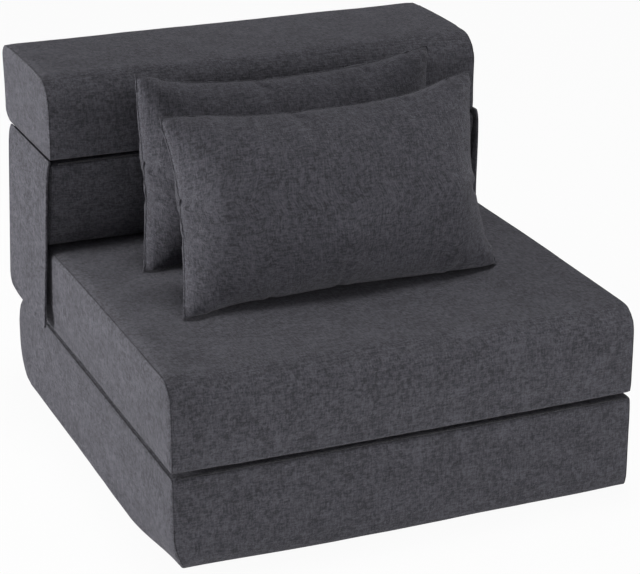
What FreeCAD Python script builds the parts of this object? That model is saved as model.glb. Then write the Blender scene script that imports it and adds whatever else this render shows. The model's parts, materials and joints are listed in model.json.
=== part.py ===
"""Convertible chair bed: four foam blocks in zipped fabric covers, hinged by sewn seams so that they
fold up as a low chair and fold out as a flat bed, with two side flaps and two loose pillows.

Millimetres. The origin is under the middle of the chair, on the floor. X runs across the seat, Y from
front to rear and Z up. Sizes from front to rear are counted from the front fold, which is at Y = 0 of
each block's own frame, so each block's Placement moves it forward by half of the chair's depth.
"""
import FreeCAD, Part
import math
import os
import Sketcher

SIZES = (
    ("width", 700, "seat width, side panel to side panel"),
    ("seat_depth", 756, "front fold to rear fold, for the base and the seat"),
    ("back_front", 523, "front fold to the back's own fold"),
    ("upper_depth", 250, "front to rear of the upper back"),
    ("base_height", 151, "base block thickness"),
    ("seat_height", 134, "seat block thickness at its edges"),
    ("lower_height", 141, "lower back block thickness"),
    ("upper_height", 126, "upper back block thickness at its edges"),
    ("lower_lean", 26, "how far the lower back's front face runs back at its foot"),
    ("seat_crown", 7, "rise of the seat's top over its edges, at mid width"),
    ("upper_crown", 5, "rise of the upper back's top over its edges, at mid width"),
    ("side_crown", 2, "rise of both tops at the side panels"),
    ("front_draw", 3, "how far front faces are drawn in at the side panels"),
    ("front_swell", 2.5, "outward curve of the lower back's front face"),
    ("fold_radius", 8, "edge rounding beside a folding seam"),
    ("panel_radius", 5.5, "edge rounding along the side panel seams"),
    ("seat_nose", 36, "rounding of the seat's top front edge"),
    ("base_toe", 24, "rounding of the base's lower front edge"),
    ("base_heel", 56, "rounding of both rear edges of the base"),
    ("upper_nose", 44, "rounding of the upper back's top front edge"),
    ("upper_crest", 18, "rounding of the upper back's top rear edge"),
    ("upper_heel", 22, "rounding of the upper back's lower rear edge"),
    ("plain_edge", 10, "rounding of the other long edges"),
    ("fabric", 2, "cover thickness with its lining"),
    ("foam_gap", 0.3, "free space between a filling and its cover"),
    ("block_gap", 0.3, "free space between pieces that move apart"),
    ("seam_end", 14, "how far a folding seam stops short of the side panel"),
    ("floor_trim", 0.2, "how much of the base's underside is cut off level, for a true flat"),
    ("zip_inset", 50, "side panel to the end of a block's zip opening"),
    ("pillow_zip", 300, "opening of a pillow's zip"),
    ("zip_mouth", 10, "height of the slit that a zip closes"),
    ("tape_width", 22, "zip tape, both halves"),
    ("tape_end", 8, "tape beyond each end of the slit"),
    ("tape_sheet", 1, "zip tape thickness"),
    ("coil_width", 5, "zip coil across"),
    ("coil_height", 0.6, "zip coil proud of its tape"),
    ("sewn_gap", 0.1, "free space between pieces that are sewn together"),
    ("slider_length", 13, "zip slider along the zip"),
    ("slider_width", 8.6, "zip slider across the zip"),
    ("slider_sheet", 1.1, "zip slider thickness over the coil"),
    ("puller_length", 24, "zip puller beyond its slider"),
    ("puller_width", 5.4, "zip puller across"),
    ("puller_sheet", 0.8, "zip puller thickness"),
    ("zip_park", 6, "free slit left past a slider at each end"),
    ("flap_width", 208, "side flap from front edge to rear edge"),
    ("flap_drop", 272, "side flap from its seam to its hem"),
    ("flap_sheet", 3, "side flap thickness, two layers of fabric"),
    ("flap_corner", 9, "rounding of the flap's free corners"),
    ("flap_front", 0, "flap's front edge behind the back's fold, at its seam"),
    ("flap_slant", 22, "how far the hem hangs to the rear of the seam"),
    ("flap_seam", 5, "height of the flap's seam over the fold"),
    ("flap_flare", 2, "outward lean of a hanging flap, in degrees"),
    ("patch_sheet", 1.2, "hook or loop patch thickness"),
    ("patch_length", 130, "hook or loop patch, front to rear"),
    ("patch_width", 30, "hook or loop patch height"),
    ("patch_hem", 16, "patch edge over the flap's hem"),
    ("pillow_length", 475, "pillow side to side"),
    ("pillow_height", 280, "pillow bottom to top"),
    ("pillow_puff", 145, "pillow thickness at its middle"),
    ("pillow_ear", 14, "rounding of the pillow's corners"),
    ("pillow_waist", 18, "how far the upper long side draws in between corners"),
    ("pillow_sole", 3, "how far the lower long side draws in between corners"),
    ("pillow_cheek", 11, "how far the short sides draw in between corners"),
    ("pillow_round", 22, "extra corner rounding towards the pillow's middle"),
    ("pillow_sink", 10, "how far a pillow's lower edge is pressed flat"),
    ("pillow_tread", 30, "half of the width of a pillow's flat, front to rear"),
    ("front_pillow_foot", 232, "front fold to the front pillow's lower edge"),
    ("front_pillow_lean", 18, "front pillow's lean, in degrees"),
    ("front_pillow_shift", -8, "front pillow's middle from the chair's middle"),
    ("back_pillow_foot", 425, "front fold to the back pillow's lower edge"),
    ("back_pillow_lean", 7, "back pillow's lean, in degrees"),
    ("back_pillow_shift", -6, "back pillow's middle from the chair's middle"),
)

# Shares of the half height at which a pillow's outline is drawn again, from its seam to its middle.
PILLOW_STEPS = (0.0, 0.07, 0.22, 0.44, 0.7)

doc = FreeCAD.newDocument("chair_bed")
sheet = doc.addObject("Spreadsheet::Sheet", "Sizes")
for row, (alias, value, meaning) in enumerate(SIZES, start=1):
    sheet.set(f"A{row}", alias)
    sheet.set(f"B{row}", str(value))
    sheet.set(f"C{row}", meaning)
    sheet.setAlias(f"B{row}", alias)
doc.recompute()

nodes = []


def s(text):
    """A formula in the sheet's names: each #name stands for that cell."""
    return text.replace("#", "Sizes.")


def value_of(formula):
    return float(sheet.evalExpression(formula))


# Places that several pieces share, as formulas.
MIDDLE = s("((#back_front + #upper_depth) / 2)")
HALF = s("(#width / 2)")
GAP = s("(#block_gap / 2)")
SEAT_FOOT = s("#base_height")
LOWER_FOOT = s("(#base_height + #seat_height)")
UPPER_FOOT = s("(#base_height + #seat_height + #lower_height)")
CROWN_MIDDLE = s("((#back_front + #lower_lean + #seat_nose) / 2)")
CROWN_REACH = s("((#back_front + #lower_lean - #seat_nose) / 2)")
FLAP_AXIS = s(f"({UPPER_FOOT} + #flap_seam)")
CAVITY = s("#fabric")
FOAM = s("(#fabric + #foam_gap)")
ZIP_LENGTH = s("(#width - 2 * #zip_inset)")


def place(piece, x="0", y="0", z="0", axis=(1, 0, 0), angle="0"):
    """Puts a piece in the chair; y is counted from the front fold."""
    # The first turn is never quite zero, since a zero turn would lose its axis before the formula sets it.
    turn = FreeCAD.Rotation(FreeCAD.Vector(*axis), max(value_of(angle), 1e-3))
    piece.Placement = FreeCAD.Placement(FreeCAD.Vector(0, 0, 0), turn)
    piece.setExpression(".Placement.Base.x", x)
    piece.setExpression(".Placement.Base.y", f"({y}) - {MIDDLE}")
    piece.setExpression(".Placement.Base.z", z)
    piece.setExpression(".Placement.Rotation.Angle", angle)


def new_body(name):
    body = doc.addObject("PartDesign::Body", name)
    body.Label = name
    return body


def plane_of(body, role):
    return next(f for f in body.Origin.OriginFeatures if f.Role == role)


def new_sketch(body, name, role, offset):
    sketch = body.newObject("Sketcher::SketchObject", name)
    sketch.AttachmentSupport = (plane_of(body, role), [""])
    sketch.MapMode = "FlatFace"
    sketch.setExpression(".AttachmentOffset.Base.z", offset)
    return sketch


def bind(sketch, kind, *items, formula):
    """Adds a dimension and ties it to a formula."""
    index = sketch.addConstraint(Sketcher.Constraint(kind, *items, value_of(formula)))
    sketch.setExpression(f"Constraints[{index}]", formula)


def arc_radius(start, end, rise):
    """Radius of an arc between two points that stands out from its chord by rise."""
    chord = f"(({end[0]} - ({start[0]}))^2 + ({end[1]} - ({start[1]}))^2)"
    return f"({chord} / 4 + ({rise})^2) / (2 * abs({rise}))"


def draw_outline(sketch, points, rises):
    """A closed outline, anticlockwise. Each edge runs from its point to the next one, straight where its
    rise is None and otherwise an arc that stands out by its rise, or in where the rise is negative."""
    spots = [FreeCAD.Vector(value_of(u), value_of(v), 0) for u, v in points]
    ends = []
    for i, rise in enumerate(rises):
        start, end = spots[i], spots[(i + 1) % len(spots)]
        if rise is None:
            edge = sketch.addGeometry(Part.LineSegment(start, end), False)
            ends.append((edge, 1, 2))
            continue
        along = (end - start).normalize()
        outward = FreeCAD.Vector(along.y, -along.x, 0) * value_of(rise)
        arc = Part.Arc(start, (start + end) / 2 + outward, end)
        edge = sketch.addGeometry(arc, False)
        ends.append((edge, 1, 2) if value_of(rise) > 0 else (edge, 2, 1))
    for i, rise in enumerate(rises):
        edge, first, last = ends[i]
        following, entry, _ = ends[(i + 1) % len(ends)]
        sketch.addConstraint(Sketcher.Constraint("Coincident", edge, last, following, entry))
        bind(sketch, "DistanceX", -1, 1, edge, first, formula=points[i][0])
        bind(sketch, "DistanceY", -1, 1, edge, first, formula=points[i][1])
        if rise is not None:
            radius = arc_radius(points[i], points[(i + 1) % len(points)], rise)
            bind(sketch, "Radius", edge, formula=radius)


def loft(body, name, sketches):
    feature = body.newObject("PartDesign::AdditiveLoft", name)
    feature.Profile = sketches[0]
    feature.Sections = sketches[1:]
    feature.Ruled = False
    return feature


def pad(body, name, sketch, length, reverse=False):
    feature = body.newObject("PartDesign::Pad", name)
    feature.Profile = sketch
    feature.setExpression("Length", length)
    feature.Reversed = reverse
    return feature


def rectangle(body, name, length, breadth, level, shift="0"):
    """A sketched rectangle in the body's XY plane, moved along X by shift."""
    sketch = new_sketch(body, name, "XY_Plane", level)
    left, right = f"{shift} - ({length}) / 2", f"{shift} + ({length}) / 2"
    near, far = f"-({breadth}) / 2", f"({breadth}) / 2"
    corners = [(left, near), (right, near), (right, far), (left, far)]
    draw_outline(sketch, corners, [None] * 4)
    return sketch


def slab(body, name, length, breadth, bottom, top, shift="0"):
    sketch = rectangle(body, f"{name}_outline", length, breadth, bottom, shift)
    return pad(body, name, sketch, f"({top}) - ({bottom})")


def cut(name, base, *tools):
    """The base solid less its tools, as a sub-part."""
    if len(tools) > 1:
        tool = doc.addObject("Part::MultiFuse", f"{name}_spaces")
        tool.Shapes = list(tools)
    else:
        tool = tools[0]
    result = doc.addObject("Part::Cut", name)
    result.Label = name
    result.Base = base
    result.Tool = tool
    return keep(result)


def keep(piece):
    nodes.append(piece)
    return piece


# The four foam blocks and their covers.
# Each block is a loft across the chair through three side views: the full one at mid width and a
# drawn-in one at each side panel, with rounded panel seams.


def corner_rise(radius):
    """Rise of a quarter round over its chord."""
    return f"(({radius}) * (1 - sqrt(0.5)))"


def side_view(block, inset, crown, draw):
    """Points and rises of a block's side view, in Y and Z, from its lower front edge anticlockwise."""
    toe, heel, crest, nose = (f"({block[k]} - {inset})" for k in ("toe", "heel", "crest", "nose"))
    front, foot = f"({block['front']} + {inset} + {draw})", f"({block['foot_front']} + {inset} + {draw})"
    rear, low = f"({block['rear']} - {inset})", f"({block['low']} + {inset})"
    high = f"({block['high']} - {inset})"
    points = [
        (f"{foot} + {toe}", low),
        (f"{rear} - {heel}", low),
        (rear, f"{low} + {heel}"),
        (rear, f"{high} - {crest}"),
        (f"{rear} - {crest}", high),
        (f"{front} + {nose}", high),
        (front, f"{high} - {nose}"),
        (foot, f"{low} + {toe}"),
    ]
    top = None if block["crown"] is None else crown
    rises = [None, corner_rise(heel), None, corner_rise(crest), top, corner_rise(nose), block["swell"]]
    rises.append(corner_rise(toe))
    if block["bare_from"]:
        # The part of the top that carries the back is flat, and the crown starts in front of it.
        points.insert(5, (block["bare_from"], high))
        rises.insert(4, None)
    return points, rises


def end_edges(shape):
    """Names of the edges round the two side panels, which are the only ones that lie square across X."""
    edges = enumerate(shape.Edges, start=1)
    return [f"Edge{i}" for i, edge in edges if edge.BoundBox.XLength < 0.01]


def block_body(name, block, inset):
    """One block's solid, inset from its cover's outer face on every side."""
    body = new_body(name)
    sketches = []
    drawn_in = (s("#side_crown"), s("#front_draw"))
    views = (("right", 1, *drawn_in), ("middle", 0, block["crown"], "0"), ("left", -1, *drawn_in))
    for view, side, crown, draw in views:
        offset = f"{side} * ({HALF} - {inset})"
        sketch = new_sketch(body, f"{name}_{view}", "YZ_Plane", offset)
        draw_outline(sketch, *side_view(block, inset, crown, draw))
        sketches.append(sketch)
    form = loft(body, f"{name}_form", sketches)
    doc.recompute()
    rounded = body.newObject("PartDesign::Fillet", f"{name}_seams")
    rounded.Base = (form, end_edges(form.Shape))
    rounded.setExpression("Radius", s(f"#panel_radius - ({inset}) * 0.9"))
    place(body)
    return body


def zip_parts(name, length, x, y, z, angle):
    """The slit in the cover, the space in the filling, the tape with its coil, and the slider. Each is
    made with its outer side up, from the cover's outer face, and turned about X into place."""
    slit = new_body(f"{name}_slit")
    slab(slit, f"{name}_mouth", length, s("#zip_mouth"), s("-#fabric * 1.5"), s("#fabric"))

    space = new_body(f"{name}_space")
    room = s("#foam_gap * 2")
    room_floor = s("-#fabric - #sewn_gap - #tape_sheet - #foam_gap")
    room_length = s(f"{length} + 2 * #tape_end + {room}")
    slab(space, f"{name}_room", room_length, s(f"#tape_width + {room}"), room_floor, "0")

    tape = new_body(name)
    tape_top = s("(-#fabric - #sewn_gap)")
    tape_length = s(f"{length} + 2 * #tape_end")
    slab(tape, f"{name}_tape", tape_length, s("#tape_width"), s(f"{tape_top} - #tape_sheet"), tape_top)
    coil_top = s(f"{tape_top} + #coil_height")
    slab(tape, f"{name}_coil", s(f"{length} - {room}"), s("#coil_width"), tape_top, coil_top)

    slider = new_body(f"{name}_slider")
    low = s(f"({coil_top} + #sewn_gap)")
    start = s(f"(({length} - #slider_length) / 2 - #zip_park)")
    plate_top = s(f"{low} + #slider_sheet")
    slab(slider, f"{name}_slider_plate", s("#slider_length"), s("#slider_width"), low, plate_top, start)
    # The puller overlaps the slider's plate by 2 mm, so that the two are one solid.
    puller_top = s(f"{low} + #puller_sheet")
    puller_middle = s(f"{start} - (#slider_length + #puller_length) / 2 + 1")
    slab(
        slider, f"{name}_slider_puller", s("#puller_length + 2"), s("#puller_width"), low, puller_top,
        puller_middle,
    )

    for piece in (slit, space, tape, slider):
        place(piece, x=x, y=y, z=z, angle=angle)
    keep(tape)
    keep(slider)
    return slit, space


def floor_space():
    """The space under the floor's level, which leaves the base's underside one true flat."""
    space = new_body("floor_space")
    slab(space, "floor_space_slab", s("#width * 1.1"), s("#seat_depth * 1.1"), s("-#floor_trim * 4"), "0")
    place(space, y=s("#seat_depth / 2"))
    return space


def zipped_block(name, block):
    """A block's cover with its zip at the rear, and its foam."""
    middle = f"({block['low']} + {block['high']}) / 2"
    slit, space = zip_parts(f"{name}_zip", ZIP_LENGTH, "0", block["rear"], middle, "270")
    outside = block_body(f"{name}_outside", block, "0")
    inside = block_body(f"{name}_inside", block, CAVITY)
    core = block_body(f"{name}_core", block, FOAM)
    spaces = [inside, slit]
    if name == "base":
        spaces.append(floor_space())
    cut(f"{name}_cover", outside, *spaces)
    cut(f"{name}_foam", core, space)


def block(front, rear, low, high, toe, heel, crest, nose, crown=None, swell=None, foot_front=None,
          bare_from=None):
    return {
        "front": s(front), "rear": s(rear), "low": s(low), "high": s(high),
        "toe": s(toe), "heel": s(heel), "crest": s(crest), "nose": s(nose),
        "crown": s(crown) if crown else None, "swell": s(swell) if swell else None,
        "foot_front": s(foot_front or front), "bare_from": s(bare_from) if bare_from else None,
    }


BLOCKS = {
    "base": block(
        GAP, "#seat_depth", "(-#floor_trim)", f"(#base_height - {GAP})",
        toe="#base_toe", heel="#base_heel", crest="#base_heel", nose="#fold_radius",
    ),
    "seat": block(
        GAP, f"(#seat_depth - {GAP})", f"({SEAT_FOOT} + {GAP})", f"({LOWER_FOOT} - {GAP})",
        toe="#fold_radius", heel="#plain_edge", crest="#fold_radius", nose="#seat_nose",
        crown="#seat_crown", bare_from="(#back_front + #lower_lean)",
    ),
    "lower_back": block(
        f"(#back_front + {GAP})", f"(#seat_depth - {GAP})", f"({LOWER_FOOT} + {GAP})",
        f"({UPPER_FOOT} - {GAP})",
        toe="#plain_edge", heel="#fold_radius", crest="#plain_edge", nose="#fold_radius",
        swell="#front_swell", foot_front="(#back_front + #lower_lean)",
    ),
    "upper_back": block(
        f"(#back_front + {GAP})", "(#back_front + #upper_depth)", f"({UPPER_FOOT} + {GAP})",
        f"({UPPER_FOOT} + #upper_height)",
        toe="#fold_radius", heel="#upper_heel", crest="#upper_crest", nose="#upper_nose",
        crown="#upper_crown",
    ),
}


# The folding seams: the rolled allowance that joins two covers, on the line about which they fold.


def folding_seam(name, y, z, inward):
    """A half round along the fold line, on the side of it where the blocks are."""
    seam = new_body(name)
    sketch = new_sketch(seam, f"{name}_outline", "YZ_Plane", s(f"#seam_end - {HALF}"))
    r = s("(sqrt(2) * (#fold_radius + #block_gap / 2) - #fold_radius - #block_gap)")
    points = [("0", f"-{inward} * {r}"), (f"{inward} * {r}", "0"), ("0", f"{inward} * {r}")]
    draw_outline(sketch, points, [corner_rise(r), corner_rise(r), None])
    pad(seam, f"{name}_roll", sketch, s("#width - 2 * #seam_end"))
    place(seam, y=y, z=z)
    keep(seam)


# The side flaps, each sewn to the upper back along its lower side edge, and their hook and loop patches.
# A flap's own frame has its outer side up and its seam along Y.


def flap_outline(body, name, side):
    front, slant = s("#flap_front"), s("#flap_slant")
    top, hem, r = "0", s("#flap_drop"), s("#flap_corner")
    corners = [
        (top, front), (top, f"{front} + {s('#flap_width')}"),
        (f"{hem} - {r}", f"{front} + {s('#flap_width')} + {slant}"),
        (hem, f"{front} + {s('#flap_width')} + {slant} - {r}"),
        (hem, f"{front} + {slant} + {r}"), (f"{hem} - {r}", f"{front} + {slant}"),
    ]
    rises = [None, None, corner_rise(r), None, corner_rise(r), None]
    sketch = new_sketch(body, name, "XY_Plane", "0")
    if side > 0:
        draw_outline(sketch, *turned_back(corners, rises))
    else:
        draw_outline(sketch, [(f"-({u})", v) for u, v in corners], rises)
    return sketch


def turned_back(points, rises):
    """The same closed outline, run the other way round."""
    return points[::-1], rises[-2::-1] + rises[-1:]


def side_piece(body, side, tilt):
    """Puts a flap or a patch on its side of the chair, hanging from the flap's seam."""
    place(
        body, x=s(f"{side} * ({HALF} + #block_gap)"), y=s("#back_front"), z=FLAP_AXIS,
        axis=(0, side, 0), angle=f"90 - {tilt}",
    )


def side_flap(name, side):
    flap = new_body(f"{name}_side_flap")
    pad(flap, f"{name}_flap_sheet", flap_outline(flap, f"{name}_flap_outline", side), s("#flap_sheet"))
    side_piece(flap, side, s("#flap_flare"))
    keep(flap)

    middle = s("#flap_front + #flap_slant * 0.9 + #flap_width / 2")
    drop = s("(#flap_drop - #patch_hem - #patch_width / 2)")
    hook = new_body(f"{name}_flap_hook_patch")
    patch(hook, f"{side} * {drop}", middle, s("-#patch_sheet - #sewn_gap"))
    side_piece(hook, side, s("#flap_flare"))
    keep(hook)

    loop = new_body(f"{name}_seat_loop_patch")
    patch(loop, f"{side} * {drop}", middle, s("-#block_gap + #sewn_gap"))
    side_piece(loop, side, "0")
    keep(loop)


def patch(body, x, y, level):
    sketch = new_sketch(body, f"{body.Name}_outline", "XY_Plane", level)
    tall, broad = s("#patch_width / 2"), s("#patch_length / 2")
    corners = [
        (f"{x} - {tall}", f"{y} - {broad}"), (f"{x} + {tall}", f"{y} - {broad}"),
        (f"{x} + {tall}", f"{y} + {broad}"), (f"{x} - {tall}", f"{y} + {broad}"),
    ]
    draw_outline(sketch, corners, [None] * 4)
    pad(body, f"{body.Name}_sheet", sketch, s("#patch_sheet"))


# The two loose pillows. A pillow's own frame has X along its length, Y up its height and Z through its
# thickness, towards the front of the chair, with its middle at the origin.


def pillow_outline(body, name, share, inset, side):
    """The pillow's outline at a share of the way in from its seam, where it is a quarter ellipse thick."""
    puff = math.sqrt(1 - (1 - share) ** 2) / math.sqrt(1 - (1 - PILLOW_STEPS[-1]) ** 2)
    level = s(f"{side} * {puff} * (#pillow_puff / 2 - {inset})")
    sketch = new_sketch(body, name, "XY_Plane", level)
    step = s(f"{share} * #pillow_height / 2 + {inset}")
    a, b = s(f"(#pillow_length / 2 - ({step}))"), s(f"(#pillow_height / 2 - ({step}))")
    r = s(f"(#pillow_ear + {share * (2 - share)} * #pillow_round)")
    waist, sole, cheek = (s(f"-#pillow_{edge} * {1 - share}") for edge in ("waist", "sole", "cheek"))
    points = [
        (f"{r} - {a}", f"-{b}"), (f"{a} - {r}", f"-{b}"), (a, f"{r} - {b}"), (a, f"{b} - {r}"),
        (f"{a} - {r}", b), (f"{r} - {a}", b), (f"-{a}", f"{b} - {r}"), (f"-{a}", f"{r} - {b}"),
    ]
    turn = corner_rise(r)
    draw_outline(sketch, points, [sole, turn, cheek, turn, waist, turn, cheek, turn])
    return sketch


def pillow_floor(pillow):
    """Height of the crowned seat top under a pillow's flat, with the free space over it."""
    off_middle = s(f"max(abs({pillow['foot']} - {CROWN_MIDDLE}) - #pillow_tread; 0)")
    crown = s(f"#seat_crown * (1 - ({off_middle} / {CROWN_REACH})^2)")
    return s(f"({LOWER_FOOT} + {crown} + #block_gap)")


def pillow_body(name, pillow, inset):
    """One pillow's solid, inset on every side, and pressed flat where it stands on the seat."""
    body = new_body(f"{name}_form")
    for side, side_name in ((1, "front"), (-1, "rear")):
        sketches = [
            pillow_outline(body, f"{name}_{side_name}_{i}", share, inset, side)
            for i, share in enumerate(PILLOW_STEPS)
        ]
        loft(body, f"{name}_{side_name}", sketches)
    lean = pillow["lean"]
    half = s("(#pillow_height / 2)")
    place(
        body, x=pillow["shift"], y=f"{pillow['foot']} + {half} * sin({lean} * 1 deg)",
        z=s(f"{pillow_floor(pillow)} - #pillow_sink + {half} * cos({lean} * 1 deg)"), angle=f"90 - {lean}",
    )
    under = new_body(f"{name}_under")
    slab(under, f"{name}_under_slab", s("#width"), s("#seat_depth"), s("-#pillow_height"), inset)
    place(under, y=s("#seat_depth / 2"), z=pillow_floor(pillow))
    flat = doc.addObject("Part::Cut", f"{name}_flat")
    flat.Base = body
    flat.Tool = under
    return flat


def zipped_pillow(name, pillow):
    foot = s(f"{pillow['foot']} + #pillow_sink * tan({pillow['lean']} * 1 deg)")
    floor = pillow_floor(pillow)
    slit, space = zip_parts(f"{name}_zip", s("#pillow_zip"), pillow["shift"], foot, floor, "180")
    outside = pillow_body(f"{name}_outside", pillow, "0")
    inside = pillow_body(f"{name}_inside", pillow, CAVITY)
    core = pillow_body(f"{name}_core", pillow, FOAM)
    cut(f"{name}_cover", outside, inside, slit)
    cut(f"{name}_filling", core, space)


PILLOWS = {
    "front_pillow": {
        "foot": s("#front_pillow_foot"), "lean": s("#front_pillow_lean"), "shift": s("#front_pillow_shift"),
    },
    "back_pillow": {
        "foot": s("#back_pillow_foot"), "lean": s("#back_pillow_lean"), "shift": s("#back_pillow_shift"),
    },
}


def build():
    for name, sizes in BLOCKS.items():
        zipped_block(name, sizes)
    folding_seam("base_seat_fold_seam", "0", SEAT_FOOT, 1)
    folding_seam("seat_back_fold_seam", s("#seat_depth"), LOWER_FOOT, -1)
    folding_seam("back_halves_fold_seam", s("#back_front"), UPPER_FOOT, 1)
    side_flap("left", -1)
    side_flap("right", 1)
    for name, pillow in PILLOWS.items():
        zipped_pillow(name, pillow)


def check_and_write():
    """Stops at any object that failed, and otherwise writes each sub-part under its name."""
    doc.recompute()
    bad = [o.Name for o in doc.Objects if {"Invalid", "Error"} & set(o.State)]
    for piece in nodes:
        shape = piece.Shape
        if shape.isNull() or not shape.isValid() or not shape.Solids or shape.Volume <= 0:
            bad.append(piece.Label)
    if bad:
        raise SystemExit(f"failed: {', '.join(sorted(set(bad)))}")
    os.makedirs("parts", exist_ok=True)
    for piece in nodes:
        piece.Shape.exportStep(f"parts/{piece.Label}.step")
        size = piece.Shape.BoundBox
        print(f"{piece.Label}: {len(piece.Shape.Solids)} solid, {piece.Shape.Volume / 1000:.1f} cm3,",
              f"{size.XLength:.0f} x {size.YLength:.0f} x {size.ZLength:.0f} mm")


build()
check_and_write()
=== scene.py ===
# %% [markdown]
# # A chair bed made of four foam blocks
# The chair is four blocks of foam in zipped fabric covers, two flaps at the sides of the back, and two
# loose lumbar pillows. The construction is already modelled and packed. This script loads it as a fixed
# frame and gives every piece its looks: covers that puff round their foam, seams, pillows with dog ears,
# hanging flaps, and materials for fabric, foam, tape and metal.

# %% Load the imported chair
import json
import math
import bpy
import numpy as np
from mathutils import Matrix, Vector, noise


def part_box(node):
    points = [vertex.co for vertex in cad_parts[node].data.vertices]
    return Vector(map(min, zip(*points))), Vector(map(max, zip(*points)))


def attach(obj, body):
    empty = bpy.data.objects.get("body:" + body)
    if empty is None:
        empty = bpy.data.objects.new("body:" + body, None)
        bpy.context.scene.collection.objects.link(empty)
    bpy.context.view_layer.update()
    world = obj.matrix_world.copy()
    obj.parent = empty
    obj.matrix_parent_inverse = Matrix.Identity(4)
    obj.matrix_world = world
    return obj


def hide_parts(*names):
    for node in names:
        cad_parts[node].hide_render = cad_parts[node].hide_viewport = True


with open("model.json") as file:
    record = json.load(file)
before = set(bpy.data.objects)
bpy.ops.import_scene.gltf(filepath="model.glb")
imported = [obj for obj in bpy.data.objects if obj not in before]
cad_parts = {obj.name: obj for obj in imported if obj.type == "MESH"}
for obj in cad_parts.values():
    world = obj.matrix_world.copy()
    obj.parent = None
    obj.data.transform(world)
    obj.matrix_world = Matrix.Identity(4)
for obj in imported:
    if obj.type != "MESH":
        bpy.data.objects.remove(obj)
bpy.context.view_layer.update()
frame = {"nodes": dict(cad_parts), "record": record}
nodes = frame["nodes"]
scene = bpy.context.scene

# %% [markdown]
# ## Camera
# The chair is seen from its left front corner and from a little above, through a long lens, so that its
# edges hardly converge. The place and turn of the camera come from the directions of those edges.

# %% Camera
CAMERA_PLACE = (-1.1928, -2.9093, 1.4609)
CAMERA_PITCH, CAMERA_TURN = 68.65, -22.70
LENS, SENSOR = 126.5, 36

bpy.ops.object.select_all(action="DESELECT")
bpy.ops.object.camera_add(location=CAMERA_PLACE,
                          rotation=(math.radians(CAMERA_PITCH), 0, math.radians(CAMERA_TURN)))
camera = bpy.context.object
camera.name = "camera"
camera.data.lens = LENS
camera.data.sensor_width = SENSOR
scene.camera = camera
print("camera with a", camera.data.lens, "mm lens")

# %% [markdown]
# ## Small tools for node trees
# Every material below is a tree of nodes. Adding and linking them one by one takes many lines, so four
# helpers do what comes back again and again: an empty material, an empty group with named sockets, a sum
# or product of two sockets, and noise whose cells have a real size.


# %% Node helpers
def new_material(name):
    material = bpy.data.materials.new(name)
    material.use_nodes = True
    material.node_tree.nodes.clear()
    return material


def new_group(name, inputs, outputs):
    """An empty shader group with named sockets, and its input and output nodes."""
    group = bpy.data.node_groups.new(name, "ShaderNodeTree")
    for socket, kind, value in inputs:
        made = group.interface.new_socket(socket, in_out="INPUT", socket_type=kind)
        if value is not None:
            made.default_value = value
    for socket, kind in outputs:
        group.interface.new_socket(socket, in_out="OUTPUT", socket_type=kind)
    return group, group.nodes.new("NodeGroupInput"), group.nodes.new("NodeGroupOutput")


def maths(tree, operation, *values):
    """A Math node whose inputs are numbers or sockets; gives its output socket."""
    node = tree.nodes.new("ShaderNodeMath")
    node.operation = operation
    for i, value in enumerate(values):
        if isinstance(value, (int, float)):
            node.inputs[i].default_value = value
        else:
            tree.links.new(value, node.inputs[i])
    return node.outputs[0]


def stretched_noise(tree, vector, scale, detail=2.0, roughness=0.5):
    """Noise whose cells are as long and wide as the scale says, in cells per metre on each axis."""
    mapping = tree.nodes.new("ShaderNodeMapping")
    mapping.inputs["Scale"].default_value = scale
    tree.links.new(vector, mapping.inputs["Vector"])
    texture = tree.nodes.new("ShaderNodeTexNoise")
    texture.inputs["Scale"].default_value = 1
    texture.inputs["Detail"].default_value = detail
    texture.inputs["Roughness"].default_value = roughness
    tree.links.new(mapping.outputs[0], texture.inputs["Vector"])
    return texture.outputs["Fac"]


print("four node helpers")

# %% [markdown]
# ## Floor, backdrop and light
# The chair stands on a white sweep that fades into a white background. More light would bleach the fabric
# before the floor looked white, so the floor and the world show white only to the rays that come straight
# from the camera, off gloss or through glass. The floor keeps a faint shadow, because a small share of its
# brightness comes from the lamps.

# %% Floor
WHITE_SHARE = 0.95
FLOOR_WHITE = (0.9, 0.9, 0.9, 1)
FLOOR_SIZE = 14


def seen_directly(tree):
    """1 for rays from the camera, off gloss and through glass, and 0 for those that light the chair."""
    path = tree.nodes.new("ShaderNodeLightPath")
    seen = maths(tree, "MAXIMUM", path.outputs["Is Camera Ray"], path.outputs["Is Glossy Ray"])
    return maths(tree, "MAXIMUM", seen, path.outputs["Is Transmission Ray"])


def white_stage_material():
    """White to the camera and to reflections, with a little of the lamps' light and shade."""
    material = new_material("white_stage")
    tree = material.node_tree
    matt = tree.nodes.new("ShaderNodeBsdfDiffuse")
    matt.inputs["Color"].default_value = FLOOR_WHITE
    glow = tree.nodes.new("ShaderNodeEmission")
    glow.inputs["Strength"].default_value = 1
    mix = tree.nodes.new("ShaderNodeMixShader")
    out = tree.nodes.new("ShaderNodeOutputMaterial")
    share = maths(tree, "MULTIPLY", seen_directly(tree), WHITE_SHARE)
    tree.links.new(share, mix.inputs["Fac"])
    tree.links.new(matt.outputs[0], mix.inputs[1])
    tree.links.new(glow.outputs[0], mix.inputs[2])
    tree.links.new(mix.outputs[0], out.inputs["Surface"])
    return material


bpy.ops.object.select_all(action="DESELECT")
bpy.ops.mesh.primitive_plane_add(size=FLOOR_SIZE, location=(0, 2, 0))
floor = bpy.context.object
floor.name = "floor"
floor.data.materials.append(white_stage_material())
print("floor of", FLOOR_SIZE, "m")

# %% World
WORLD_LIGHT = (0.06, 0.06, 0.064, 1)

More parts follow.
